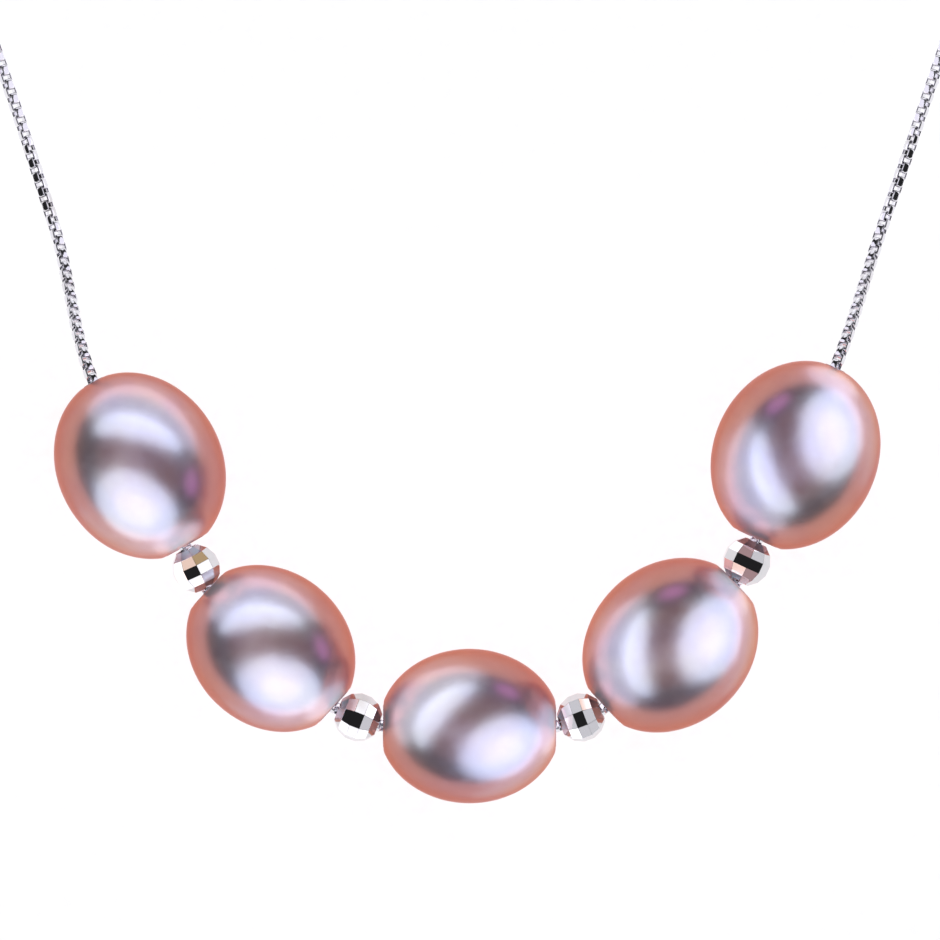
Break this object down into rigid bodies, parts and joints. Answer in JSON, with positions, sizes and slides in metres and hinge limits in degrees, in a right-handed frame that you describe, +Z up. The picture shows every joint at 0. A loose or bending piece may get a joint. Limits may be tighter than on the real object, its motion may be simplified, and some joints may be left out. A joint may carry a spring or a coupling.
{
  "type": "pearl necklace",
  "caption": "Fine box-chain necklace laid open, with large oval pearls at the front, faceted metal spacer beads between them and a spring ring clasp at one end.",
  "frame": {"origin": "middle of the footprint, on the surface the necklace lies on", "axes": "+Z up from the surface, +Y along the open strand from the pearls towards the clasp and catch ring, +X across it to the catch ring's side"},
  "size_m": [0.0922, 0.2164, 0.0087],
  "materials": {
    "pearl": "gloss",
    "bead_silver": "polished",
    "chain_silver": "polished",
    "ring_silver": "polished",
    "spring_steel": "satin"
  },
  "bodies": {
    "chain_left_9": {"chain_left_9": "chain_silver", "end_ring_left": "ring_silver"},
    "chain_left_8": {"chain_left_8": "chain_silver"},
    "chain_left_7": {"chain_left_7": "chain_silver"},
    "chain_left_6": {"chain_left_6": "chain_silver"},
    "chain_left_5": {"chain_left_5": "chain_silver"},
    "chain_left_4": {"chain_left_4": "chain_silver"},
    "chain_left_3": {"chain_left_3": "chain_silver"},
    "chain_left_2": {"chain_left_2": "chain_silver"},
    "chain_left_1": {"chain_left_1": "chain_silver"},
    "chain_in_pearl_1": {"chain_in_pearl_1": "chain_silver"},
    "chain_in_spacer_bead_1": {"chain_in_spacer_bead_1": "chain_silver"},
    "chain_in_pearl_2": {"chain_in_pearl_2": "chain_silver"},
    "chain_in_spacer_bead_2": {"chain_in_spacer_bead_2": "chain_silver"},
    "chain_in_pearl_3": {"chain_in_pearl_3": "chain_silver"},
    "chain_in_spacer_bead_3": {"chain_in_spacer_bead_3": "chain_silver"},
    "chain_in_pearl_4": {"chain_in_pearl_4": "chain_silver"},
    "chain_in_spacer_bead_4": {"chain_in_spacer_bead_4": "chain_silver"},
    "chain_in_pearl_5": {"chain_in_pearl_5": "chain_silver"},
    "chain_right_1": {"chain_right_1": "chain_silver"},
    "chain_right_2": {"chain_right_2": "chain_silver"},
    "chain_right_3": {"chain_right_3": "chain_silver"},
    "chain_right_4": {"chain_right_4": "chain_silver"},
    "chain_right_5": {"chain_right_5": "chain_silver"},
    "chain_right_6": {"chain_right_6": "chain_silver"},
    "chain_right_7": {"chain_right_7": "chain_silver"},
    "chain_right_8": {"chain_right_8": "chain_silver"},
    "chain_right_9": {"chain_right_9": "chain_silver", "end_ring_right": "ring_silver"},
    "pearl_1": {"pearl_1": "pearl"},
    "spacer_bead_1": {"spacer_bead_1": "bead_silver"},
    "pearl_2": {"pearl_2": "pearl"},
    "spacer_bead_2": {"spacer_bead_2": "bead_silver"},
    "pearl_3": {"pearl_3": "pearl"},
    "spacer_bead_3": {"spacer_bead_3": "bead_silver"},
    "pearl_4": {"pearl_4": "pearl"},
    "spacer_bead_4": {"spacer_bead_4": "bead_silver"},
    "pearl_5": {"pearl_5": "pearl"},
    "jump_ring": {"jump_ring": "ring_silver"},
    "clasp": {"clasp_case": "ring_silver", "clasp_spring": "spring_steel"},
    "clasp_bolt": {"clasp_bolt": "ring_silver"},
    "catch_ring": {"catch_ring": "ring_silver"}
  },
  "joints": [
    {"name": "clasp_bolt_draw", "type": "hinge", "parent": "clasp", "child": "clasp_bolt", "pos_m": [-0.03471, 0.10545, 0.0009], "axis": [0, 0, 1], "range_deg": [0, 55], "stiffness_Nm_per_rad": 0.001, "springref_deg": -22.92, "deforming": ["clasp_spring"]},
    {"name": "clasp_swing", "type": "hinge", "parent": "jump_ring", "child": "clasp", "pos_m": [-0.03555, 0.10207, 0.0009], "axis": [0, 0, 1], "range_deg": [-30, 30]},
    {"name": "jump_ring_swing", "type": "hinge", "parent": "chain_left_9", "child": "jump_ring", "pos_m": [-0.03613, 0.09975, 0.0009], "axis": [0, 0, 1], "range_deg": [-30, 30]},
    {"name": "catch_ring_swing", "type": "hinge", "parent": "chain_right_9", "child": "catch_ring", "pos_m": [0.03613, 0.10029, 0.0009], "axis": [0, 0, 1], "range_deg": [-25, 25]},
    {"name": "bend_at_spacer_bead_2", "type": "hinge", "parent": "chain_in_pearl_3", "child": "chain_in_spacer_bead_2", "pos_m": [-0.00476, -0.10413, 0.0041], "axis": [0, 0, 1], "range_deg": [-3.2, 45.8]},
    {"name": "bend_at_pearl_2", "type": "hinge", "parent": "chain_in_spacer_bead_2", "child": "chain_in_pearl_2", "pos_m": [-0.00714, -0.1032, 0.0041], "axis": [0, 0, 1], "range_deg": [-3, 46]},
    {"name": "bend_at_spacer_bead_1", "type": "hinge", "parent": "chain_in_pearl_2", "child": "chain_in_spacer_bead_1", "pos_m": [-0.01403, -0.09682, 0.0041], "axis": [0, 0, 1], "range_deg": [-2.9, 46.1]},
    {"name": "bend_at_pearl_1", "type": "hinge", "parent": "chain_in_spacer_bead_1", "child": "chain_in_pearl_1", "pos_m": [-0.01505, -0.0947, 0.00438], "axis": [0, 0, 1], "range_deg": [-15, 20.8]},
    {"name": "bend_at_chain_left_1", "type": "hinge", "parent": "chain_in_pearl_1", "child": "chain_left_1", "pos_m": [-0.01997, -0.08593, 0.00438], "axis": [0, 0, 1], "range_deg": [-15, 15]},
    {"name": "bend_at_chain_left_2", "type": "hinge", "parent": "chain_left_1", "child": "chain_left_2", "pos_m": [-0.02242, -0.07727, 0.00042], "axis": [0, 0, 1], "range_deg": [-15, 15]},
    {"name": "bend_at_chain_left_3", "type": "hinge", "parent": "chain_left_2", "child": "chain_left_3", "pos_m": [-0.02956, -0.05593, 0.00042], "axis": [0, 0, 1], "range_deg": [-15, 15]},
    {"name": "bend_at_chain_left_4", "type": "hinge", "parent": "chain_left_3", "child": "chain_left_4", "pos_m": [-0.03595, -0.03436, 0.00042], "axis": [0, 0, 1], "range_deg": [-15, 15]},
    {"name": "bend_at_chain_left_5", "type": "hinge", "parent": "chain_left_4", "child": "chain_left_5", "pos_m": [-0.04101, -0.01244, 0.00042], "axis": [0, 0, 1], "range_deg": [-15, 15]},
    {"name": "bend_at_chain_left_6", "type": "hinge", "parent": "chain_left_5", "child": "chain_left_6", "pos_m": [-0.04433, 0.00982, 0.00042], "axis": [0, 0, 1], "range_deg": [-15, 15]},
    {"name": "bend_at_chain_left_7", "type": "hinge", "parent": "chain_left_6", "child": "chain_left_7", "pos_m": [-0.04571, 0.03227, 0.00042], "axis": [0, 0, 1], "range_deg": [-15, 15]},
    {"name": "bend_at_chain_left_8", "type": "hinge", "parent": "chain_left_7", "child": "chain_left_8", "pos_m": [-0.04492, 0.05476, 0.00042], "axis": [0, 0, 1], "range_deg": [-15, 15]},
    {"name": "bend_at_chain_left_9", "type": "hinge", "parent": "chain_left_8", "child": "chain_left_9", "pos_m": [-0.04179, 0.07704, 0.00042], "axis": [0, 0, 1], "range_deg": [-15, 15]},
    {"name": "bend_at_spacer_bead_3", "type": "hinge", "parent": "chain_in_pearl_3", "child": "chain_in_spacer_bead_3", "pos_m": [0.00469, -0.10413, 0.0041], "axis": [0, 0, 1], "range_deg": [-45.6, 3.4]},
    {"name": "bend_at_pearl_4", "type": "hinge", "parent": "chain_in_spacer_bead_3", "child": "chain_in_pearl_4", "pos_m": [0.00707, -0.10321, 0.00428], "axis": [0, 0, 1], "range_deg": [-47, 2]},
    {"name": "bend_at_spacer_bead_4", "type": "hinge", "parent": "chain_in_pearl_4", "child": "chain_in_spacer_bead_4", "pos_m": [0.01417, -0.09645, 0.00428], "axis": [0, 0, 1], "range_deg": [-46, 3]},
    {"name": "bend_at_pearl_5", "type": "hinge", "parent": "chain_in_spacer_bead_4", "child": "chain_in_pearl_5", "pos_m": [0.01516, -0.09432, 0.00438], "axis": [0, 0, 1], "range_deg": [-24.8, 15]},
    {"name": "bend_at_chain_right_1", "type": "hinge", "parent": "chain_in_pearl_5", "child": "chain_right_1", "pos_m": [0.01934, -0.08518, 0.00438], "axis": [0, 0, 1], "range_deg": [-15, 15]},
    {"name": "bend_at_chain_right_2", "type": "hinge", "parent": "chain_right_1", "child": "chain_right_2", "pos_m": [0.02242, -0.07673, 0.00042], "axis": [0, 0, 1], "range_deg": [-15, 15]},
    {"name": "bend_at_chain_right_3", "type": "hinge", "parent": "chain_right_2", "child": "chain_right_3", "pos_m": [0.02956, -0.05539, 0.00042], "axis": [0, 0, 1], "range_deg": [-15, 15]},
    {"name": "bend_at_chain_right_4", "type": "hinge", "parent": "chain_right_3", "child": "chain_right_4", "pos_m": [0.03595, -0.03381, 0.00042], "axis": [0, 0, 1], "range_deg": [-15, 15]},
    {"name": "bend_at_chain_right_5", "type": "hinge", "parent": "chain_right_4", "child": "chain_right_5", "pos_m": [0.04101, -0.01189, 0.00042], "axis": [0, 0, 1], "range_deg": [-15, 15]},
    {"name": "bend_at_chain_right_6", "type": "hinge", "parent": "chain_right_5", "child": "chain_right_6", "pos_m": [0.04433, 0.01036, 0.00042], "axis": [0, 0, 1], "range_deg": [-15, 15]},
    {"name": "bend_at_chain_right_7", "type": "hinge", "parent": "chain_right_6", "child": "chain_right_7", "pos_m": [0.04571, 0.03282, 0.00042], "axis": [0, 0, 1], "range_deg": [-15, 15]},
    {"name": "bend_at_chain_right_8", "type": "hinge", "parent": "chain_right_7", "child": "chain_right_8", "pos_m": [0.04492, 0.05531, 0.00042], "axis": [0, 0, 1], "range_deg": [-15, 15]},
    {"name": "bend_at_chain_right_9", "type": "hinge", "parent": "chain_right_8", "child": "chain_right_9", "pos_m": [0.04179, 0.07759, 0.00042], "axis": [0, 0, 1], "range_deg": [-15, 15]},
    {"name": "spin_of_pearl_1", "type": "hinge", "parent": "chain_in_pearl_1", "child": "pearl_1", "pos_m": [-0.01751, -0.09031, 0.00438], "axis": [-0.4894, 0.8721, 0], "continuous": true},
    {"name": "spin_of_spacer_bead_1", "type": "hinge", "parent": "chain_in_spacer_bead_1", "child": "spacer_bead_1", "pos_m": [-0.01454, -0.09576, 0.00424], "axis": [-0.4292, 0.8957, 0.1162], "continuous": true},
    {"name": "spin_of_pearl_2", "type": "hinge", "parent": "chain_in_pearl_2", "child": "pearl_2", "pos_m": [-0.01058, -0.10001, 0.0041], "axis": [-0.7337, 0.6794, 0], "continuous": true},
    {"name": "spin_of_spacer_bead_2", "type": "hinge", "parent": "chain_in_spacer_bead_2", "child": "spacer_bead_2", "pos_m": [-0.00595, -0.10367, 0.0041], "axis": [-0.9317, 0.3633, 0], "continuous": true},
    {"name": "spin_of_pearl_3", "type": "hinge", "parent": "chain_in_pearl_3", "child": "pearl_3", "pos_m": [-0.00003, -0.10413, 0.0041], "axis": [1, 0, 0], "continuous": true},
    {"name": "spin_of_spacer_bead_3", "type": "hinge", "parent": "chain_in_spacer_bead_3", "child": "spacer_bead_3", "pos_m": [0.00588, -0.10367, 0.00419], "axis": [0.9308, 0.3592, 0.0685], "continuous": true},
    {"name": "spin_of_pearl_4", "type": "hinge", "parent": "chain_in_pearl_4", "child": "pearl_4", "pos_m": [0.01062, -0.09983, 0.00428], "axis": [0.7242, 0.6896, 0], "continuous": true},
    {"name": "spin_of_spacer_bead_4", "type": "hinge", "parent": "chain_in_spacer_bead_4", "child": "spacer_bead_4", "pos_m": [0.01466, -0.09539, 0.00432], "axis": [0.4207, 0.9062, 0.0425], "continuous": true},
    {"name": "spin_of_pearl_5", "type": "hinge", "parent": "chain_in_pearl_5", "child": "pearl_5", "pos_m": [0.01725, -0.08975, 0.00438], "axis": [0.4163, 0.9092, 0], "continuous": true}
  ]
}
